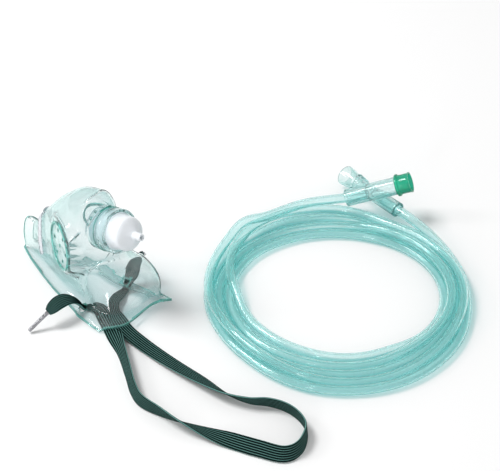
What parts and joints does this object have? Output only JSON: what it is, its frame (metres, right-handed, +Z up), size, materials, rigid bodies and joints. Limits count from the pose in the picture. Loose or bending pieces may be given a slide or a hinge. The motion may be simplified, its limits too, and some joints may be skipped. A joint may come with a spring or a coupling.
{
  "type": "oxygen face mask",
  "caption": "Small clear oxygen face mask with vented cheeks, a turning white tube connector, a nose strip, an elastic head strap and a coiled supply tube.",
  "frame": {"origin": "middle of the mask's bounding box, on the surface that its rim lies on", "axes": "+Z up from that surface, +X to the right and +Y away as the picture sees it; the mask's nose points to -X +Y and its connector to +X -Y"},
  "size_m": [0.2533, 0.2179, 0.0676],
  "materials": {
    "clear_pvc": "clear, glossy, pale aqua",
    "white_plastic": "satin",
    "aluminium": "plain sheet",
    "elastic": "ribbed woven elastic",
    "steel": "crimped sheet metal",
    "aqua_tubing": "clear, glossy, pale aqua",
    "green_plastic": "clear, glossy, green"
  },
  "bodies": {
    "mask": {"mask_shell": "clear_pvc", "nose_clip": "aluminium", "head_strap": "elastic", "strap_tip_near": "steel", "strap_tip_far": "steel", "tubing_coil": "aqua_tubing", "tube_lead_a": "aqua_tubing", "tube_lead_b": "aqua_tubing", "supply_sleeve": "clear_pvc", "supply_cap": "green_plastic", "mask_funnel": "clear_pvc"},
    "connector": {"swivel_connector": "white_plastic"}
  },
  "joints": [
    {"name": "connector_swivel", "type": "hinge", "parent": "mask", "child": "connector", "pos_m": [0.01089, -0.00682, 0.0474], "axis": [0.7178, -0.6239, 0.309], "continuous": true}
  ]
}
